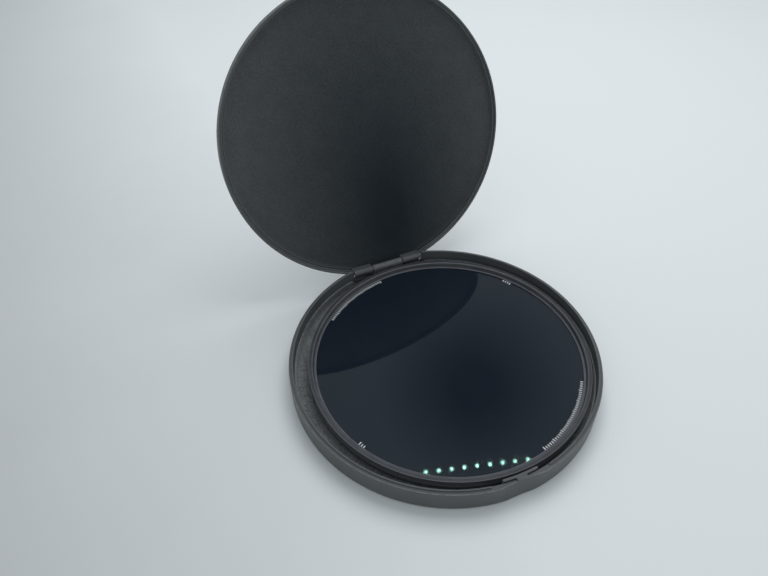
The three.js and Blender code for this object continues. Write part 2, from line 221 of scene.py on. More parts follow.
KNURL_FILLET = 0.03
SPANNER_HALF = 0.6 / RETAINER_BORE
SPANNER_DEPTH = 0.25
SPANNER_ANGLES = math.pi / 8, math.pi / 8 + math.pi
LAYER_GAP = 0.02
# The first and last angle of each run of marks, in degrees.
MARK_RUNS = [(-75.6, -34.9), (99.4, 135.4), (32.1, 37.2), (-153.9, -150.0)]
MARK_PITCH = 1.1
MARK_WIDTH = 0.4
MARK_LENGTH = 1.1
LONG_MARK_LENGTH = 1.4
MARK_EDGE = RETAINER_BORE - 0.15
MARK_SINK = 0.03
MARK_RISE = 0.012


# ---- Shapes ----


def eased(share):
    share = min(1.0, max(0.0, share))
    return share * share * (3 - 2 * share)


def mixed(low, high, share):
    return low + (high - low) * share


def stepped(distance, soft):
    """0 for distances below 0 and 1 above it, easing over soft."""
    return eased(distance / soft + 0.5)


def off_angle(angle, middle):
    """How far an angle is from a middle one, from 0 to pi."""
    return abs((angle - middle + math.pi) % FULL_TURN - math.pi)


def inside(angle, middle, half, soft=0.005):
    """1 within half of the middle angle and 0 outside it, easing over soft radians."""
    return stepped(half - off_angle(angle, middle), soft)


def rounded(corners, steps=4):
    """Turns (radius, height, rounding) corners, listed anticlockwise, into a soft outline.

    Each point also says how exposed it is: 1 in the middle of an outside corner, 0 elsewhere.
    """
    points = []
    for index, (radius, height, rounding) in enumerate(corners):
        if rounding == 0:
            points.append((radius, height, 0.0))
            continue
        here = Vector((radius, height))
        back = Vector(corners[index - 1][:2]) - here
        ahead = Vector(corners[(index + 1) % len(corners)][:2]) - here
        reach = min(rounding, 0.42 * back.length, 0.42 * ahead.length)
        hold = 0.1 * reach
        start = back.normalized() * reach
        end = ahead.normalized() * reach
        outside = 1.0 if back.x * ahead.y - back.y * ahead.x < 0 else 0.0
        points.append((*(here + start + back.normalized() * hold), 0.0))
        for step in range(steps + 1):
            share = step / steps
            point = here + start * (1 - share) ** 2 + end * share**2
            points.append((*point, outside * math.sin(math.pi * share)))
        points.append((*(here + end + ahead.normalized() * hold), 0.0))
    return points


def turns(count, *edges, width=0.006):
    """Angles round a full turn, with more of them at each edge angle."""
    angles = {round(FULL_TURN * step / count, 6) for step in range(count)}
    for edge in edges:
        for step in range(-4, 5):
            angles.add(round((edge + width * step / 4) % FULL_TURN, 6))
    return sorted(angles)


def both_sides(middle, half):
    return middle - half, middle + half


def skin(name, points, exposed, poles):
    """A closed mesh over a grid of points in mm.

    Rows join end to end. So do columns, unless the first and last column are poles, each drawn
    together into one point.
    """
    rows = points.shape[0]
    body = points[:, 1:-1] if poles else points
    weight = exposed[:, 1:-1] if poles else exposed
    width = body.shape[1]
    vertices = body.reshape(-1, 3)
    weights = weight.reshape(-1)
    row = np.arange(rows)[:, None] * width
    next_row = np.roll(row, -1, axis=0)
    column = np.arange(width if not poles else width - 1)[None, :]
    next_column = (column + 1) % width
    here, beside = row + column, row + next_column
    above, above_beside = next_row + column, next_row + next_column
    faces = np.stack([here, beside, above_beside, above], -1).reshape(-1, 4).tolist()
    if poles:
        first = len(vertices)
        vertices = np.concatenate([vertices, points[:1, 0], points[:1, -1]])
        weights = np.concatenate([weights, [0.0, 0.0]])
        ring = row[:, 0]
        ahead = next_row[:, 0]
        faces += [(first, a, b) for a, b in zip(ring.tolist(), ahead.tolist())]
        last = width - 1
        faces += [(first + 1, b + last, a + last) for a, b in zip(ring.tolist(), ahead.tolist())]
    mesh = bpy.data.meshes.new(name)
    mesh.from_pydata((vertices * MM).tolist(), [], faces)
    scuff_and_highlight_weight = mesh.attributes.new("scuff_and_highlight_weight", "FLOAT", "POINT")
    scuff_and_highlight_weight.data.foreach_set("value", weights.astype(np.float32))
    turn_outwards(mesh)
    mesh.shade_smooth()
    mesh.set_sharp_from_angle(angle=math.radians(50))
    piece = bpy.data.objects.new(name, mesh)
    bpy.context.scene.collection.objects.link(piece)
    return piece


def turn_outwards(mesh):
    """Turns the faces round if they point into the body."""
    mesh.calc_loop_triangles()
    corners = np.empty(len(mesh.loop_triangles) * 3, np.int32)
    mesh.loop_triangles.foreach_get("vertices", corners)
    places = np.empty(len(mesh.vertices) * 3, np.float32)
    mesh.vertices.foreach_get("co", places)
    a, b, c = places.reshape(-1, 3)[corners].reshape(-1, 3, 3).astype(float).transpose(1, 0, 2)
    if np.einsum("ij,ij->i", a, np.cross(b, c)).sum() < 0:
        mesh.flip_normals()


def spun(name, section, angles, poles=False, centre=(0, 0, 0)):
    """A body whose section(angle), a list of (radius, height, exposed) points, goes round Z."""
    profile = np.array([section(angle) for angle in angles])
    radius, height, exposed = profile.transpose(2, 0, 1)
    turn = np.array(angles)[:, None]
    points = np.stack([radius * np.cos(turn), radius * np.sin(turn), height], -1)
    piece = skin(name, points, exposed, poles)
    piece.location = Vector(centre) * MM
    return piece


def lid_opened(point):
    """Where a point in mm, given for the shut lid, is when the lid stands open."""
    hinge = Vector((0, HINGE_Y, HINGE_Z))
    return hinge + Matrix.Rotation(-OPEN_ANGLE, 3, "X") @ (point - hinge)


def lid_turned_open(piece):
    """Turns a piece made where the lid is shut into the place where the lid stands open."""
    hinge = Vector((0, HINGE_Y, HINGE_Z)) * MM
    swing = Matrix.Rotation(-OPEN_ANGLE, 4, "X")
    piece.data.transform(Matrix.Translation(hinge) @ swing @ Matrix.Translation(-hinge))
    return piece


def finished(piece, body, slot, material, *nodes):
    """Gives a piece its material and the CAD body that it belongs to, and hides the CAD nodes that
    it stands in for. slot is not used.
    """
    piece.data.materials.append(material)
    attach(piece, body)
    if nodes:
        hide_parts(*nodes)
    return piece


# ---- Case shapes ----


def wall_radius(angle, height):
    """The outer wall, with the shallow scoop for a thumb in front."""
    depth = mixed(THUMB_DEPTH_FOOT, THUMB_DEPTH_TOP, height / BASE_HEIGHT)
    off = off_angle(angle, FRONT)
    distance = CASE_RADIUS - depth + THUMB_RADIUS
    across = distance * math.sin(off)
    if off > THUMB_REACH or across >= THUMB_RADIUS:
        return CASE_RADIUS
    scoop = distance * math.cos(off) - math.sqrt(THUMB_RADIUS**2 - across**2)
    gap = scoop - CASE_RADIUS
    return CASE_RADIUS + 0.5 * (gap - math.sqrt(gap * gap + THUMB_BLEND**2))


def hinge_wall_top(radius, angle):
    """The height of the wall under the hinge, hollowed for the ears and the rim of the open lid."""
    across = abs(radius * math.cos(angle))
    behind = radius * math.sin(angle) - HINGE_Y
    groove = mixed(GROOVE_RADIUS, GROOVE_END_RADIUS, stepped(across - GROOVE_STEP, STEP_SOFT))
    round_top = HINGE_Z - math.sqrt(max(0.0, groove**2 - behind**2))
    rim = math.sqrt(CASE_RADIUS**2 - across**2) - HINGE_Y + SWING_GAP
    cosine, sine = math.cos(OPEN_ANGLE), math.sin(OPEN_ANGLE)
    under_lid = HINGE_Z - rim * sine + cosine * (behind - rim * cosine) / sine
    middle = stepped(KNUCKLE_HALF + EAR_GAP + 0.1 - across, STEP_SOFT)
    return mixed(min(round_top, under_lid), RELIEF_FLOOR, middle)


def base_section(angle):
    latch = inside(angle, FRONT, LATCH_HALF)
    relief = inside(angle, BACK, RELIEF_HALF)
    chord = (HINGE_Y - KNUCKLE_WEB) / max(0.5, math.sin(angle))
    lip = mixed(LIP_HEIGHT, HAIR, max(latch, relief))
    lip_outer = mixed(LIP_RADIUS, POCKET_RADIUS + POCKET_LIP, latch)
    lip_outer = mixed(lip_outer, max(chord + SHELF_WALL, INNER_RADIUS), relief)
    inner = mixed(mixed(INNER_RADIUS, POCKET_RADIUS, latch), chord, relief)
    boss = mixed(mixed(INNER_RADIUS - HAIR, TONGUE_RADIUS, latch), chord - HAIR, relief)
    radii = (CASE_RADIUS, lip_outer, inner)
    tops = [mixed(BASE_HEIGHT, hinge_wall_top(radius, angle), relief) for radius in radii]
    ledge = min(POCKET_FLOOR, tops[2] - LEDGE_DROP)
    foot = wall_radius(angle, 0)
    rim = wall_radius(angle, tops[0])
    return rounded(
        [
            (0, PANEL_DEPTH, 0),
            (PANEL_RADIUS, PANEL_DEPTH, PANEL_DEPTH),
            (PANEL_RADIUS + PANEL_DEPTH, 0, PANEL_DEPTH),
            (foot, 0, FOOT_ROUND),
            (rim, tops[0], RIM_ROUND),
            (lip_outer, tops[1], EDGE_ROUND),
            (lip_outer - LIP_TAPER, tops[1] + lip, EDGE_ROUND),
            (inner, tops[2] + lip, EDGE_ROUND),
            (inner, ledge, EDGE_ROUND),
            (boss, ledge, EDGE_ROUND),
            (boss, FLOOR, INNER_ROUND),
            (0, FLOOR, 0),
        ]
    )


def make_base():
    edges = [*both_sides(FRONT, LATCH_HALF), *both_sides(BACK, RELIEF_HALF)]
    return spun("case_base", base_section, turns(540, *edges), poles=True)


def lid_section(angle):
    notch = inside(angle, BACK, NOTCH_HALF)
    catch = inside(angle, FRONT, CATCH_HALF)
    bottom = mixed(LID_BOTTOM, LID_BOTTOM + NOTCH_HEIGHT, notch)
    step = max(LID_BOTTOM + LID_STEP + HOOK_ROOM * catch, bottom + HAIR)
    lip = CASE_RADIUS - LID_LIP_WALL
    bead = mixed(lip, CATCH_RADIUS, catch)
    bead_top = bottom + min(CATCH_HEIGHT, 0.45 * (step - bottom))
    return rounded(
        [
            (0, LID_TOP - LID_PLATE, 0),
            (0, LID_TOP, 0),
            (CASE_RADIUS, LID_TOP, LID_ROUND),
            (CASE_RADIUS, bottom, RIM_ROUND),
            (bead, bottom, EDGE_ROUND),
            (lip, bead_top, EDGE_ROUND),
            (lip, step, EDGE_ROUND),
            (LID_INNER_RADIUS, step, EDGE_ROUND),
            (LID_INNER_RADIUS, LID_TOP - LID_PLATE, LID_COVE),
        ][::-1]
    )


def make_lid():
    edges = [*both_sides(FRONT, CATCH_HALF), *both_sides(BACK, NOTCH_HALF)]
    angles = turns(540, *edges)
    lid = spun("case_lid", lid_section, angles, poles=True)
    return lid_turned_open(lid)


def bored_bar(name, half_width, reach, low, high, bare):
    """A hinge barrel round the pin, with a web that goes up if reach is above 0, and else down.

    It is cut off at the round outline of the case. bare says how scuffed and lightened its face is,
    from 0 to 1; the lightening is partly painted highlight.
    """
    bevel = BARREL_BEVEL
    sides = 96
    rows = []
    for side in range(sides):
        angle = FULL_TURN * side / sides
        radius = BARREL_RADIUS
        upward = math.sin(angle) * math.copysign(1, reach)
        if upward > 0:
            across = half_width / max(1e-6, abs(math.cos(angle)))
            radius = max(radius, min(across, abs(reach) / upward))
        face = [(0, PIN_HOLE_RADIUS, 0), (0, radius - bevel, bare)]
        start = face + [(0.3 * bevel, radius - 0.3 * bevel, 2 * bare)]
        middle = [(x, radius, bare) for x in np.linspace(bevel, high - low - bevel, 12)]
        end = [(high - low - x, r, scuffs_and_highlight) for x, r, scuffs_and_highlight in start[::-1]]
        row = []
        for x, r, _ in start + middle + end:
            outline = math.sqrt(CASE_RADIUS**2 - (low + x) ** 2) - WALL_GAP
            y = min(outline, HINGE_Y + r * math.cos(angle))
            row.append((low + x, y, HINGE_Z + r * math.sin(angle)))
        rows.append(row)
    exposed = np.tile([scuffs_and_highlight for _, _, scuffs_and_highlight in start + middle + end], (sides, 1)).astype(float)
    return skin(name, np.array(rows), exposed, poles=False)


def make_knuckle():
    reach = FLOOR / 2 - HINGE_Z
    low, high = -KNUCKLE_HALF, KNUCKLE_HALF
    return bored_bar("base_knuckle", KNUCKLE_WEB, reach, low, high, KNUCKLE_SCUFF_AND_HIGHLIGHT)


def make_ear(side):
    near = KNUCKLE_HALF + EAR_GAP
    low, high = sorted((side * near, side * (near + EAR_WIDTH)))
    reach = LID_BOTTOM + LID_STEP + EAR_ROOT - HINGE_Z
    name = "lid_ear_right" if side > 0 else "lid_ear_left"
    return lid_turned_open(bored_bar(name, EAR_WEB, reach, low, high, 0))


def make_pin():
    """The steel pin, lying along X, with chamfered ends."""
    half = PIN_HIGH.x
    chamfer = 0.15
    sides = 48
    loop = [
        (-half, 0),
        (-half, PIN_RADIUS - chamfer),
        (-half + chamfer, PIN_RADIUS),
        (half - chamfer, PIN_RADIUS),
        (half, PIN_RADIUS - chamfer),
        (half, 0),
    ]
    rows = []
    for side in range(sides):
        angle = FULL_TURN * side / sides
        across, along = math.cos(angle), math.sin(angle)
        rows.append([(x, HINGE_Y + r * across, HINGE_Z + r * along) for x, r in loop])
    return skin("hinge_pin_rod", np.array(rows), np.zeros((sides, len(loop))), poles=True)


def tongue_section(angle):
    hook = inside(angle, FRONT, HOOK_HALF, soft=0.008)
    outer = TONGUE_RADIUS + TONGUE_THICKNESS
    tip = mixed(outer, HOOK_RADIUS, hook)
    top = TONGUE_HIGH.z
    return rounded(
        [
            (TONGUE_RADIUS, TONGUE_LOW.z, 0.1),
            (outer, TONGUE_LOW.z, 0.1),
            (outer, top - HOOK_HEIGHT - 0.3, 0.1),
            (tip, top - 0.6 * HOOK_HEIGHT, 0.14),
            (tip - 0.05, top, 0.2),
            (TONGUE_RADIUS, top, 0.4),
        ]
    )


def make_tongue():
    """The latch's springy blade, with rounded upright edges and a hook in the middle of its top."""
    bevel = TONGUE_BEVEL / TONGUE_RADIUS
    ends = [eased(step / 4) * bevel for step in range(5)]
    edge = [-TONGUE_HALF + reach for reach in ends]
    middle = np.linspace(-TONGUE_HALF + 1.5 * bevel, TONGUE_HALF - 1.5 * bevel, 121).tolist()
    offsets = edge + middle + [-reach for reach in edge[::-1]]
    columns = []
    for offset in offsets:
        profile = np.array(tongue_section(FRONT + offset))
        centre = profile[:, :2].mean(0)
        depth = min(1.0, (TONGUE_HALF - abs(offset)) / bevel)
        shrink = mixed(0.45, 1.0, math.sqrt(max(0.0, 1 - (1 - depth) ** 2)))
        radius = centre[0] + (profile[:, 0] - centre[0]) * shrink
        height = centre[1] + (profile[:, 1] - centre[1]) * mixed(0.95, 1.0, shrink)
        turn = FRONT + offset
        columns.append(np.stack([radius * math.cos(turn), radius * math.sin(turn), height], -1))
    first = np.broadcast_to(columns[0].mean(0), columns[0].shape)
    last = np.broadcast_to(columns[-1].mean(0), columns[-1].shape)
    points = np.stack([first, *columns, last], axis=1)
    exposed = np.array(tongue_section(FRONT + TONGUE_HALF))[:, 2]
    return skin("latch_blade", points, np.repeat(exposed[:, None], points.shape[1], 1), poles=True)


# ---- Foam pads ----


def foam_rise(x, y, seed):
    """The slightly uneven face of cut foam: long shallow waves and the marks of single cells."""
    wave = noise.noise(Vector((x / FOAM_WAVE, y / FOAM_WAVE, seed)))
    cells = noise.noise(Vector((x / FOAM_CELL, y / FOAM_CELL, seed + 5)))
    return FOAM_WAVE_RISE * wave + FOAM_CELL_RISE * cells


def make_pad(name, outline, lift, back, upward, seed):
    """A foam pad inside outline(angle), whose edge turns up by lift(angle) in a hollow curve.

    Heights grow from the back to the face: upwards for the base, downwards for the lid.
    """
    rings = 96

    def section(angle):
        radius = outline(angle)
        across, along = math.cos(angle), math.sin(angle)
        ragged = noise.noise(Vector((across * 9, along * 9, seed)))
        rise = max(0.1, lift(angle)) * (1 + 0.05 * ragged)
        top = PAD_THICKNESS + rise
        face = PAD_THICKNESS - PAD_SINK
        cove = min(PAD_COVE, 0.7 * rise)
        wall = radius - PAD_EDGE * (1 + 0.12 * ragged)
        brow = top - PAD_EDGE_ROUND
        points = [(0, 0, 0), (radius - INNER_ROUND, 0, 0), (radius, INNER_ROUND, 0)]
        for step in range(7):
            share = math.pi * step / 6
            middle = (radius + wall) / 2
            half = (radius - wall) / 2
            height = brow + PAD_EDGE_ROUND * math.sin(share)
            points.append((middle + half * math.cos(share), height, 0.6))
        for step in range(1, 7):
            height = mixed(brow, PAD_THICKNESS + cove, step / 6)
            uneven = foam_rise(4 * across * radius, 4 * along * radius + 9 * height, seed)
            points.append((wall - abs(uneven), height, 0.4 * (1 - step / 6)))
        for step in range(1, 9):
            share = math.pi / 2 * step / 8
            r = wall - PAD_COVE * (1 - math.cos(share))
            points.append((r, PAD_THICKNESS + cove * (1 - math.sin(share)), 0))
        inner = wall - PAD_COVE
        for ring in range(1, rings):
            r = inner * (1 - ring / rings)
            points.append((r, face + foam_rise(r * across, r * along, seed), 0))
        points.append((0, face, 0))
        return [(r, back + upward * height, bare) for r, height, bare in points]

    edges = [*both_sides(FRONT, LATCH_HALF), *both_sides(BACK, RELIEF_HALF)]
    return spun(name, section, turns(720, *edges), poles=True)


def base_pad_outline(angle):
    """Round, but short of the latch in front and of the straight wall under the hinge."""
    front_half = (TONGUE_HIGH.x + SLOT_WIDTH + PAD_GAP) / (TONGUE_RADIUS - PAD_GAP)
    wall = INNER_RADIUS - WALL_GAP
    radius = mixed(wall, TONGUE_RADIUS - PAD_GAP, inside(angle, FRONT, front_half, soft=0.012))
    return min(radius, (HINGE_Y - KNUCKLE_WEB - PAD_GAP) / max(0.1, math.sin(angle)))


def base_pad_lift(angle):
    """The edge stays flat at the latch and under the hinge."""
    latch = inside(angle, FRONT, LATCH_HALF + 0.02, soft=0.03)
    hinge = inside(angle, BACK, RELIEF_HALF, soft=0.08)
    return (PAD_EDGE_TOP - PAD_BACK - PAD_THICKNESS) * (1 - max(latch, hinge))


def make_base_pad():
    return make_pad("base_foam", base_pad_outline, base_pad_lift, PAD_BACK, 1, seed=1.0)


def make_lid_pad():
    radius = LID_INNER_RADIUS - WALL_GAP
    pad = make_pad(
        "lid_foam", lambda angle: radius, lambda angle: LID_PAD_LIFT, LID_PAD_BACK, -1, seed=8.0
    )
    return lid_turned_open(pad)


# ---- Filter ----


def thread(crest, root, high, low, angle, samples=22):
    """Points down a thread from high to low, whose groove climbs one pitch in a turn."""
    points = []
    for sample in range(samples + 1):
        height = mixed(high, low, sample / samples)
        phase = (height / THREAD_PITCH - angle / FULL_TURN) % 1.0
        groove = max(0.0, 1 - abs(2 * phase - 1) * 1.25)
        fade = eased(min(high - height, height - low) / 0.12)
        points.append((mixed(crest, root, groove * fade), height, 0.0))
    return points


def wire_groove(mouth, bottom):
    """The groove for the spring wire, from its lower edge to its upper one."""
    low = WIRE_BOTTOM - WIRE_GAP
    high = WIRE_TOP + WIRE_GAP
    return [(mouth, low, 0), (bottom, low, 0), (bottom, high, 0), (mouth, high, 0)]


def rear_section(angle):
    minor = THREAD_RADIUS - THREAD_DEPTH
    male = thread(THREAD_RADIUS, minor, THREAD_HEIGHT - 0.05, 0.1, angle)[::-1]
    groove = wire_groove(COLLAR_BORE, COLLAR_BORE + WIRE_REACH + WIRE_ROOM)
    rim = rounded(
        [
            (THREAD_RADIUS, THREAD_HEIGHT, 0),
            (RING_RADIUS, THREAD_HEIGHT, RING_EDGE),
            (RING_RADIUS, REAR_HEIGHT, RING_EDGE),
            (COLLAR_BORE, REAR_HEIGHT, RING_EDGE),
            *groove[::-1],
            (COLLAR_BORE, COLLAR_FLOOR, RING_FILLET),
            (REAR_BORE, COLLAR_FLOOR, RING_EDGE),
            (REAR_BORE, 0, RING_EDGE),
            (THREAD_RADIUS - THREAD_CHAMFER, 0, RING_FILLET),
        ]
    )
    return male + rim


def front_section(angle):
    seat_top = COLLAR_FLOOR + RING_CLEARANCE + SEAT_WALL
    collar = COLLAR_BORE - 1.5 * RING_CLEARANCE
    spigot = REAR_BORE - 1.5 * RING_CLEARANCE
    crest = THREAD_RADIUS - THREAD_DEPTH
    pocket = GLASS_RADIUS + RING_CLEARANCE
    rib = 0.5 - 0.5 * math.cos(KNURL_RIBS * angle)
    knurl = RING_RADIUS - KNURL_DEPTH * rib
    ring_foot = REAR_HEIGHT + RING_CLEARANCE
    knurl_foot = ring_foot + KNURL_FOOT
    knurl_head = FILTER_HEIGHT - KNURL_HEAD
    thread_top = FILTER_HEIGHT - THREAD_CHAMFER
    outside = rounded(
        [
            (SEAT_RADIUS, SEAT_LOW, RING_FILLET),
            (spigot, SEAT_LOW, RING_FILLET),
            (spigot, COLLAR_FLOOR + RING_CLEARANCE, RING_FILLET),
            (collar, COLLAR_FLOOR + RING_CLEARANCE, RING_FILLET),
            *wire_groove(collar, COLLAR_BORE - WIRE_REACH - WIRE_ROOM),
            (collar, ring_foot, RING_FILLET),
            (RING_RADIUS, ring_foot, RING_EDGE),
            (RING_RADIUS, knurl_foot, RING_FILLET),
            (knurl, knurl_foot + KNURL_RAMP, KNURL_FILLET),
            (knurl, knurl_head - KNURL_RAMP, KNURL_FILLET),
            (RING_RADIUS, knurl_head, RING_FILLET),
            (RING_RADIUS, FILTER_HEIGHT, RING_EDGE),
            (THREAD_RADIUS, FILTER_HEIGHT, RING_EDGE),
            (crest, thread_top, 0),
        ],
        steps=2,
    )
    female = thread(crest, THREAD_RADIUS, thread_top, GLASS_TOP + 0.1, angle, samples=16)
    seat = [(pocket, GLASS_TOP, 0), (pocket, seat_top, 0), (SEAT_RADIUS, seat_top, 0)]
    return outside + female + seat


def retainer_section(angle):
    slot = max(inside(angle, middle, SPANNER_HALF, soft=0.002) for middle in SPANNER_ANGLES)
    top = RETAINER_TOP - SPANNER_DEPTH * slot
    low = GLASS_TOP + LAYER_GAP
    return rounded(
        [
            (RETAINER_BORE, low, 0.04),
            (RETAINER_RADIUS, low, 0.04),
            (RETAINER_RADIUS, top, 0.06),
            (RETAINER_BORE + RETAINER_CHAMFER, top, 0.06),
            (RETAINER_BORE, top - RETAINER_CHAMFER, 0.05),
        ],
        steps=3,
    )


def disc_section(radius, low, high, chamfer):
    corners = [(0, low, 0), (radius, low, chamfer), (radius, high, chamfer), (0, high, 0)]
    return rounded(corners, steps=3)


def make_disc(name, low, high, chamfer):
    """One round layer of the filter, with rings of points on its flat faces."""
    outline = disc_section(GLASS_RADIUS, low, high, chamfer)
    shares = [0.25, 0.5, 0.75, 0.9]
    under = [(GLASS_RADIUS * share, low, 0) for share in shares]
    over = [(GLASS_RADIUS * share, high, 0) for share in shares[::-1]]
    profile = [outline[0], *under, *outline[1:-1], *over, outline[-1]]
    return spun(name, lambda angle: profile, turns(360), poles=True, centre=FILTER_CENTRE)


def ring_piece(name, section, count, *edges):
    return spun(name, section, turns(count, *edges, width=0.004), centre=FILTER_CENTRE)


def make_marks():
    """White graduations round the border of the glass, in four runs. Every fifth one is longer."""
    pitch = math.degrees(MARK_PITCH / MARK_EDGE)
    half = MARK_WIDTH / 2 / MARK_EDGE
    vertices, faces = [], []
    low, high = GLASS_TOP - MARK_SINK, GLASS_TOP + MARK_RISE
    for start, end in MARK_RUNS:
        for index in range(int((end - start) / pitch)):
            turn = math.radians(start + index * pitch)
            inner = MARK_EDGE - (LONG_MARK_LENGTH if index % 5 == 0 else MARK_LENGTH)
            left, right = turn - half, turn + half
            corners = (inner, left), (MARK_EDGE, left), (MARK_EDGE, right), (inner, right)
            first = len(vertices)
            for height in (low, high):
                vertices += [(r * math.cos(at), r * math.sin(at), height) for r, at in corners]
            sides = [(k, (k + 1) % 4, (k + 1) % 4 + 4, k + 4) for k in range(4)]
            for face in [(3, 2, 1, 0), (4, 5, 6, 7), *sides]:
                faces.append([first + corner for corner in face])
    mesh = bpy.data.meshes.new("ring_marks")
    mesh.from_pydata((np.array(vertices) * MM).tolist(), [], faces)
    piece = bpy.data.objects.new("ring_marks", mesh)
    piece.location = FILTER_CENTRE * MM
    bpy.context.scene.collection.objects.link(piece)
    return piece


# ---- Materials ----


def surface(name, colour, roughness, **sockets):
    """A material with one Principled shader, and its node tree."""
    made = bpy.data.materials.new(name)
    made.use_nodes = True
    shader = made.node_tree.nodes["Principled BSDF"]
    shader.inputs["Base Color"].default_value = (*colour, 1)
    shader.inputs["Roughness"].default_value = roughness
    for socket, value in sockets.items():
        shader.inputs[socket.replace("_", " ")].default_value = value
    return made, made.node_tree, shader


def object_place(tree):
    """Object coordinates, in metres."""
    return tree.nodes.new("ShaderNodeTexCoord").outputs["Object"]


def grain(tree, cell, detail=2.0, roughness=0.5):
    """Noise whose lumps are about cell millimetres across."""
    node = tree.nodes.new("ShaderNodeTexNoise")
    node.inputs["Scale"].default_value = 1 / (cell * MM)
    node.inputs["Detail"].default_value = detail
    node.inputs["Roughness"].default_value = roughness
    tree.links.new(object_place(tree), node.inputs["Vector"])
    return node.outputs["Fac"]


def ranged(tree, value, low, high, new_low, new_high):
    node = tree.nodes.new("ShaderNodeMapRange")
    for socket, number in zip(node.inputs[1:5], (low, high, new_low, new_high)):
        socket.default_value = number
    tree.links.new(value, node.inputs["Value"])
    return node.outputs["Result"]


def maths(tree, operation, first, second):
    node = tree.nodes.new("ShaderNodeMath")
    node.operation = operation
    for socket, value in zip(node.inputs, (first, second)):
        if isinstance(value, (int, float)):
            socket.default_value = value
        else:
            tree.links.new(value, socket)
    return node.outputs["Value"]


def colours(tree, share, low, high):
    """A colour between low and high."""
    node = tree.nodes.new("ShaderNodeMix")
    node.data_type = "RGBA"
    tree.links.new(share, node.inputs["Factor"])
    for socket, colour in (("A", low), ("B", high)):
        target = next(s for s in node.inputs if s.name == socket and s.type == "RGBA")
        if isinstance(colour, tuple):
            target.default_value = (*colour, 1)
        else:
            tree.links.new(colour, target)
    return next(s for s in node.outputs if s.type == "RGBA")


def bumped(tree, shader, *heights):
    """Stacks (height, depth in mm, strength) bumps on the shader's normal."""
    normal = None
    for height, depth, strength in heights:
        node = tree.nodes.new("ShaderNodeBump")
        node.inputs["Distance"].default_value = depth * MM
        node.inputs["Strength"].default_value = strength
        tree.links.new(height, node.inputs["Height"])
        if normal is not None:
            tree.links.new(normal, node.inputs["Normal"])
        normal = node.outputs["Normal"]
    tree.links.new(normal, shader.inputs["Normal"])


def apart(tree, vector, spot):
    """How far a vector is from a spot."""
    node = tree.nodes.new("ShaderNodeVectorMath")
    node.operation = "DISTANCE"
    tree.links.new(vector, node.inputs[0])
    node.inputs[1].default_value = spot
    return node.outputs["Value"]


def edge_scuff_and_highlight(tree):
    """How exposed the surface is, from 0 to 1: where edges are scuffed lighter and where highlight
    is painted on them.
    """
    node = tree.nodes.new("ShaderNodeAttribute")
    node.attribute_name = "scuff_and_highlight_weight"
    return node.outputs["Fac"]


def plastic_material():
    """Charcoal moulded plastic: spark-eroded grain, slight flow marks, edges rubbed smoother and
    lighter, the lighter colour being partly painted highlight.
    """
    made, tree, shader = surface("case_plastic_grained", (0.08, 0.086, 0.09), 0.45)
    flow = grain(tree, 22, detail=3)
    fine = grain(tree, 0.32, detail=3)
    edge = edge_scuff_and_highlight(tree)
    share = ranged(tree, flow, 0.3, 0.7, 0, 1)
    body = colours(tree, share, (0.066, 0.072, 0.076), (0.084, 0.091, 0.096))
    # Lighter dashes along the edges: partly scuffing, partly painted highlight standing in for
    # glints.
    scuffs_and_highlight = maths(tree, "MULTIPLY", edge, ranged(tree, grain(tree, 1.6), 0.35, 0.65, 0.35, 1.0))
    tree.links.new(colours(tree, scuffs_and_highlight, body, (0.21, 0.22, 0.23)), shader.inputs["Base Color"])
    rough = ranged(tree, fine, 0.3, 0.7, 0.42, 0.52)
    smoothed = maths(tree, "SUBTRACT", rough, maths(tree, "MULTIPLY", scuffs_and_highlight, 0.3))
    tree.links.new(smoothed, shader.inputs["Roughness"])
    bumped(tree, shader, (fine, 0.03, 0.55), (flow, 0.1, 0.03))
    return made


def foam_material(name, dark, light, cell, painted_shade=None):
    """Fine-celled foam with a felt-like face; where the given share is below 1, painted shade
    darkens it and lowers its sheen.
    """
    made, tree, shader = surface(name, light, 0.95)
    shader.inputs["Specular IOR Level"].default_value = 0.2
    shader.inputs["Sheen Weight"].default_value = 0.3
    shader.inputs["Sheen Roughness"].default_value = 0.45
    shader.inputs["Sheen Tint"].default_value = (0.85, 0.93, 1.0, 1)
    cells = grain(tree, cell, detail=3, roughness=0.6)
    patches = grain(tree, 7, detail=3)
    share = maths(
        tree,
        "ADD",
        ranged(tree, cells, 0.35, 0.65, 0, 0.8),
        ranged(tree, patches, 0.3, 0.7, 0, 0.2),
    )
    colour = colours(tree, share, dark, light)
    if painted_shade:
        # Painted shade: a near-black colour and less sheen where the given share is low.
        upright = painted_shade(tree)
        colour = colours(tree, upright, (0, 0.006, 0.012), colour)
        tree.links.new(maths(tree, "MULTIPLY", upright, 0.3), shader.inputs["Sheen Weight"])
    tree.links.new(colour, shader.inputs["Base Color"])
    waves = grain(tree, 3 * cell, detail=2)
    bumped(tree, shader, (cells, 0.25 * cell, 0.9), (waves, 0.3 * cell, 0.3))
    return made


def base_foam_material():
    """The open grey foam of the base."""
    return foam_material("case_foam_coarse", (0.095, 0.103, 0.107), (0.21, 0.226, 0.233), 0.8)


def lid_shade_oval(tree):
    """How free of painted shade the lid's foam is, from 0 to 1.

    The painted shade lies in an oval between the middle of the lid and the hinge.
    """
    stretched = tree.nodes.new("ShaderNodeVectorMath")
    stretched.operation = "MULTIPLY"
    tree.links.new(object_place(tree), stretched.inputs[0])
    stretched.inputs[1].default_value = SHADE_OVAL_STRETCH
    distance = apart(tree, stretched.outputs["Vector"], lid_opened(SHADE_OVAL_SPOT) * SHADE_OVAL_STRETCH * MM)
    return ranged(tree, distance, SHADE_OVAL_NEAR * MM, SHADE_OVAL_FAR * MM, SHADE_OVAL_LEAST, 1)


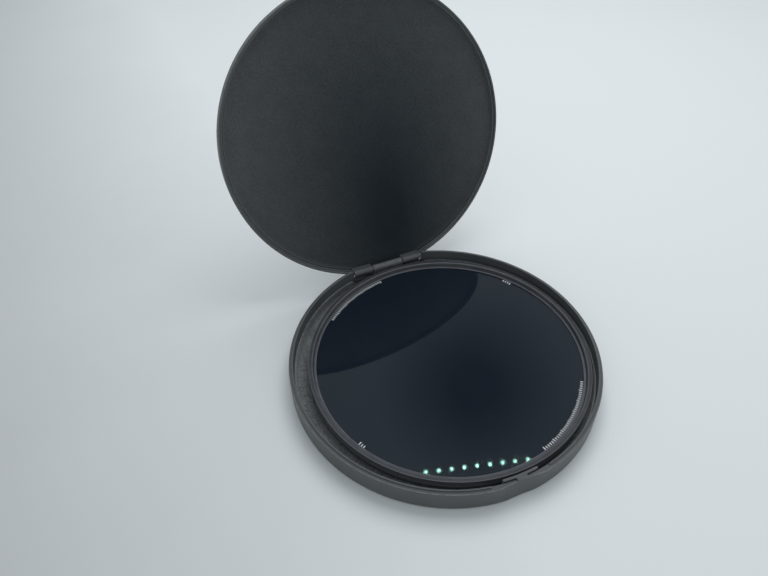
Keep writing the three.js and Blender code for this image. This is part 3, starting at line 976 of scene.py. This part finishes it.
def lid_foam_material():
    """The finer and darker foam of the lid, with an oval of painted shade."""
    dark, light = (0.056, 0.061, 0.066), (0.105, 0.113, 0.12)
    return foam_material("case_foam_fine", dark, light, 0.4, lid_shade_oval)


def ring_material(name, dark, light):
    """Anodised aluminium with turning lines; its edges lighter from scuffing and painted highlight,
    its outer side lighter grey as painted light.
    """
    made, tree, shader = surface(name, light, 0.34, Metallic=0.5)
    shader.inputs["Specular Tint"].default_value = (0.94, 0.95, 1.0, 1)
    lines = turning_lines(tree)
    share = ranged(tree, grain(tree, 5), 0.3, 0.7, 0, 1)
    # Painted light: the outer side is a lighter grey, as if light fell on it.
    near, far = (RING_RADIUS - 0.25) * MM, (RING_RADIUS - 0.1) * MM
    side = ranged(tree, axis_distance(tree), near, far, 0, 1)
    body = colours(tree, side, colours(tree, share, dark, light), (0.17, 0.176, 0.196))
    # Lighter edges: partly scuffing, partly painted highlight.
    scuffs_and_highlight = colours(tree, edge_scuff_and_highlight(tree), body, (0.22, 0.225, 0.25))
    tree.links.new(scuffs_and_highlight, shader.inputs["Base Color"])
    tree.links.new(ranged(tree, lines, 0.3, 0.7, 0.3, 0.42), shader.inputs["Roughness"])
    bumped(tree, shader, (lines, 0.01, 0.5), (grain(tree, 0.2), 0.01, 0.3))
    return made


def black_ring_material():
    return ring_material("ring_black_anodised", (0.06, 0.064, 0.071), (0.078, 0.083, 0.092))


def grey_ring_material():
    return ring_material("retainer_grey_anodised", (0.12, 0.122, 0.14), (0.15, 0.153, 0.175))


def axis_distance(tree):
    """The distance from the object's Z axis, in metres."""
    parts = tree.nodes.new("ShaderNodeSeparateXYZ")
    tree.links.new(object_place(tree), parts.inputs["Vector"])
    squares = [maths(tree, "MULTIPLY", parts.outputs[axis], parts.outputs[axis]) for axis in "XY"]
    return maths(tree, "SQRT", maths(tree, "ADD", *squares), 0.0)


def turning_lines(tree):
    """Noise that only changes with the radius and height, as a lathe tool leaves it."""
    parts = tree.nodes.new("ShaderNodeSeparateXYZ")
    tree.links.new(object_place(tree), parts.inputs["Vector"])
    joined = tree.nodes.new("ShaderNodeCombineXYZ")
    tree.links.new(axis_distance(tree), joined.inputs["X"])
    tree.links.new(parts.outputs["Z"], joined.inputs["Z"])
    node = tree.nodes.new("ShaderNodeTexNoise")
    node.inputs["Scale"].default_value = 1 / (0.09 * MM)
    node.inputs["Detail"].default_value = 2
    tree.links.new(joined.outputs["Vector"], node.inputs["Vector"])
    return node.outputs["Fac"]


def glass_material():
    """Coated optical glass over the dark polarising film."""
    made, tree, shader = surface("filter_glass_coated", (0.008, 0.012, 0.02), 0.03, Alpha=0.85)
    shader.inputs["IOR"].default_value = 1.5
    shader.inputs["Specular Tint"].default_value = (0.86, 0.97, 1.0, 1)
    share = ranged(tree, grain(tree, 30), 0.3, 0.7, 0, 1)
    depth = colours(tree, share, (0.0085, 0.0142, 0.023), (0.0105, 0.0162, 0.0255))
    tree.links.new(depth, shader.inputs["Base Color"])
    tree.links.new(ranged(tree, grain(tree, 25), 0.3, 0.7, 0.02, 0.03), shader.inputs["Roughness"])
    return made


def film_material():
    """Smoky stretched film."""
    made, tree, shader = surface("smoky_film", (0.012, 0.015, 0.019), 0.25)
    share = ranged(tree, grain(tree, 6), 0.3, 0.7, 0, 1)
    smoke = colours(tree, share, (0.010, 0.013, 0.017), (0.014, 0.017, 0.021))
    tree.links.new(smoke, shader.inputs["Base Color"])
    bumped(tree, shader, (grain(tree, 12), 0.05, 0.1))
    return made


def steel_material(name, roughness):
    """Drawn steel wire."""
    made, tree, shader = surface(name, (0.5, 0.5, 0.52), roughness, Metallic=1.0)
    fine = grain(tree, 0.15, detail=3)
    share = ranged(tree, grain(tree, 1.5), 0.3, 0.7, 0, 1)
    steel = colours(tree, share, (0.42, 0.42, 0.44), (0.56, 0.56, 0.58))
    tree.links.new(steel, shader.inputs["Base Color"])
    rough = ranged(tree, fine, 0.3, 0.7, roughness - 0.06, roughness + 0.1)
    tree.links.new(rough, shader.inputs["Roughness"])
    bumped(tree, shader, (fine, 0.008, 0.4))
    return made


def adhesive_material():
    """Thin double-sided tape."""
    made, tree, shader = surface("tape_adhesive", (0.45, 0.43, 0.37), 0.6)
    share = ranged(tree, grain(tree, 3, detail=4), 0.3, 0.7, 0, 1)
    tape = colours(tree, share, (0.38, 0.36, 0.30), (0.50, 0.48, 0.42))
    tree.links.new(tape, shader.inputs["Base Color"])
    bumped(tree, shader, (grain(tree, 0.5, detail=3), 0.04, 0.5))
    return made


def paint_material():
    """White printing ink."""
    made, tree, shader = surface("white_print", (0.6, 0.63, 0.65), 0.6)
    share = ranged(tree, grain(tree, 0.4, detail=3), 0.3, 0.7, 0, 1)
    ink = colours(tree, share, (0.55, 0.58, 0.6), (0.8, 0.83, 0.85))
    tree.links.new(ink, shader.inputs["Base Color"])
    bumped(tree, shader, (grain(tree, 0.12), 0.01, 0.4))
    return made


# ---- Building the pieces ----


def build_case():
    plastic = plastic_material()
    foam = base_foam_material()
    lid_foam = lid_foam_material()
    finished(make_base(), "base", "case_plastic", plastic, "base_shell")
    finished(make_knuckle(), "base", "case_plastic", plastic)
    finished(make_tongue(), "latch", "case_plastic", plastic, "latch_tongue")
    finished(make_lid(), "lid", "case_plastic", plastic, "lid_shell")
    for side in (-1, 1):
        finished(make_ear(side), "lid", "case_plastic", plastic)
    finished(make_pin(), "base", "pin_steel", steel_material("pin_drawn_steel", 0.3), "hinge_pin")
    base_pad = finished(make_base_pad(), "base", "case_foam", foam, "base_foam_pad")
    lid_pad = finished(make_lid_pad(), "lid", "case_foam", lid_foam, "lid_foam_pad")
    tape = adhesive_material()
    for node in ("base_pad_adhesive", "lid_pad_adhesive"):
        kept(node, tape)


def build_filter():
    metal = black_ring_material()
    inner_metal = grey_ring_material()
    glass = glass_material()
    film = film_material()
    rear = ring_piece("filter_rear_ring", rear_section, 540)
    finished(rear, "filter_mount", "ring_aluminium", metal, "rear_ring")
    front = ring_piece("filter_front_ring", front_section, 4 * KNURL_RIBS)
    finished(front, "filter_front", "ring_aluminium", metal, "front_ring")
    slots = [edge for middle in SPANNER_ANGLES for edge in both_sides(middle, SPANNER_HALF)]
    retainer = ring_piece("filter_retaining_ring", retainer_section, 540, *slots)
    finished(retainer, "filter_front", "ring_aluminium", inner_metal, "retaining_ring")
    finished(make_marks(), "filter_front", None, paint_material())
    layers = [
        ("rear_glass", "filter_rear_glass", "filter_glass", glass),
        ("quarter_wave_film", "filter_quarter_wave_film", "filter_film", film),
        ("polarising_film", "filter_polarising_film", "filter_film", film),
        ("front_glass", "filter_front_glass", "filter_glass", glass),
    ]
    for node, name, slot, material in layers:
        low, high = span(node)
        chamfer = 0.35 * (high.z - low.z) if "glass" in node else LAYER_GAP
        layer = make_disc(name, low.z - REAR_LOW.z, high.z - REAR_LOW.z - LAYER_GAP, chamfer)
        finished(layer, "filter_front", slot, material, node)
    kept("snap_ring", steel_material("snap_spring_steel", 0.35))


def kept(node, material):
    """A CAD node whose shape is right as it is."""
    mesh = frame["nodes"][node].data
    mesh.materials.clear()
    mesh.materials.append(material)


# ---- Stage, light and camera ----
CAMERA_PLACE = Vector((-86.97, -153.30, 220.13))
CAMERA_AIM = Vector((-4.21, 53.94, 0))
CAMERA_ROLL = math.radians(-1.033)
CAMERA_LENS = 31.29
WORLD_FRONT = 0.6
WORLD_BACK = 0.48
WORLD_TOP = 0.15
CEILING_SPOT = Vector((0.34, 0.5, 0.79))
SPOT_CORE = 0.03
SPOT_EDGE = 0.15
SPOT_LEVEL = 0.1
# Painted shade on the floor: darker towards the near left.
FLOOR_SHADE_SLANT = 0.1
FLOOR_SHADE_FADE = -0.17, 0.0
KEY_PLACE = Vector((0.18, 0.25, 0.62))
KEY_SIZE = 0.45
KEY_POWER = 2.25
LAMPS = 9
LAMP_ROW = Vector((0.516, 0.974, 2.0)), Vector((0.888, 0.873, 2.0))
LAMP_RADIUS = 0.006
LAMP_POWER = 0.07


def make_camera():
    forward = (CAMERA_AIM - CAMERA_PLACE).normalized()
    level = forward.cross(Vector((0, 0, 1))).normalized()
    upright = level.cross(forward)
    right = level * math.cos(CAMERA_ROLL) + upright * math.sin(CAMERA_ROLL)
    up = upright * math.cos(CAMERA_ROLL) - level * math.sin(CAMERA_ROLL)
    data = bpy.data.cameras.new("camera")
    data.lens = CAMERA_LENS
    data.sensor_width = 36
    data.clip_start = 0.01
    data.clip_end = 20
    camera = bpy.data.objects.new("camera", data)
    turn = Matrix((right, up, -forward)).transposed().to_4x4()
    camera.matrix_world = Matrix.Translation(CAMERA_PLACE * MM) @ turn
    bpy.context.scene.collection.objects.link(camera)
    bpy.context.scene.camera = camera


def make_floor():
    """A pale sheet, with painted shade making it a little darker towards the near left."""
    mesh = bpy.data.meshes.new("floor")
    size = 4.0
    corners = [(-size, -size, 0), (size, -size, 0), (size, size, 0), (-size, size, 0)]
    mesh.from_pydata(corners, [], [(0, 1, 2, 3)])
    floor = bpy.data.objects.new("floor", mesh)
    bpy.context.scene.collection.objects.link(floor)
    made, tree, shader = surface("pale_floor", (0.74, 0.77, 0.79), 0.6)
    parts = tree.nodes.new("ShaderNodeSeparateXYZ")
    tree.links.new(object_place(tree), parts.inputs["Vector"])
    slant = maths(tree, "MULTIPLY", parts.outputs["Y"], FLOOR_SHADE_SLANT)
    across = maths(tree, "ADD", parts.outputs["X"], slant)
    uneven = maths(tree, "MULTIPLY", grain(tree, 60, detail=3), 0.03)
    share = ranged(tree, maths(tree, "ADD", across, uneven), *FLOOR_SHADE_FADE, 0, 1)
    pale = colours(tree, share, (0.5, 0.524, 0.54), (0.745, 0.78, 0.80))
    tree.links.new(pale, shader.inputs["Base Color"])
    mesh.materials.append(made)


def make_key_light():
    """A square soft light overhead, turned to the object, which the glass doesn't mirror."""
    data = bpy.data.lights.new("key_overhead", "AREA")
    data.shape = "SQUARE"
    data.size = KEY_SIZE
    data.energy = KEY_POWER
    light = bpy.data.objects.new("key_overhead", data)
    light.location = KEY_PLACE
    light.rotation_mode = "QUATERNION"
    light.rotation_quaternion = (-KEY_PLACE).to_track_quat("-Z", "Y")
    light.visible_glossy = False
    bpy.context.scene.collection.objects.link(light)


def make_world():
    """A pale room with a dark patch on its ceiling, which the glass mirrors."""
    world = bpy.data.worlds.new("studio")
    world.use_nodes = True
    tree = world.node_tree
    background = tree.nodes["Background"]
    direction = tree.nodes.new("ShaderNodeTexCoord").outputs["Generated"]
    parts = tree.nodes.new("ShaderNodeSeparateXYZ")
    tree.links.new(direction, parts.inputs["Vector"])
    around = ranged(tree, parts.outputs["Y"], -0.7, 0.7, WORLD_FRONT, WORLD_BACK)
    overhead = maths(tree, "POWER", maths(tree, "MAXIMUM", parts.outputs["Z"], 0.0), 8.0)
    glow = maths(tree, "ADD", around, maths(tree, "MULTIPLY", overhead, WORLD_TOP))
    background.inputs["Color"].default_value = (0.93, 0.98, 1.0, 1)
    patch = ranged(tree, apart(tree, direction, CEILING_SPOT), SPOT_CORE, SPOT_EDGE, SPOT_LEVEL, 1)
    tree.links.new(maths(tree, "MULTIPLY", glow, patch), background.inputs["Strength"])
    bpy.context.scene.world = world


def make_lamp_row():
    """A row of small ceiling lamps behind the case, which the glass shows as a row of dots."""
    first, last = LAMP_ROW
    for index in range(LAMPS):
        data = bpy.data.lights.new(f"lamp_{index}", "POINT")
        data.energy = LAMP_POWER
        data.shadow_soft_size = LAMP_RADIUS
        data.color = (0.55, 1.0, 0.8)
        lamp = bpy.data.objects.new(f"lamp_{index}", data)
        lamp.visible_diffuse = False
        lamp.location = first.lerp(last, index / (LAMPS - 1))
        bpy.context.scene.collection.objects.link(lamp)


def build_stage():
    make_camera()
    make_floor()
    make_world()
    make_lamp_row()
    make_key_light()
    bpy.context.scene.view_settings.view_transform = "Standard"


build_stage()
build_case()
build_filter()
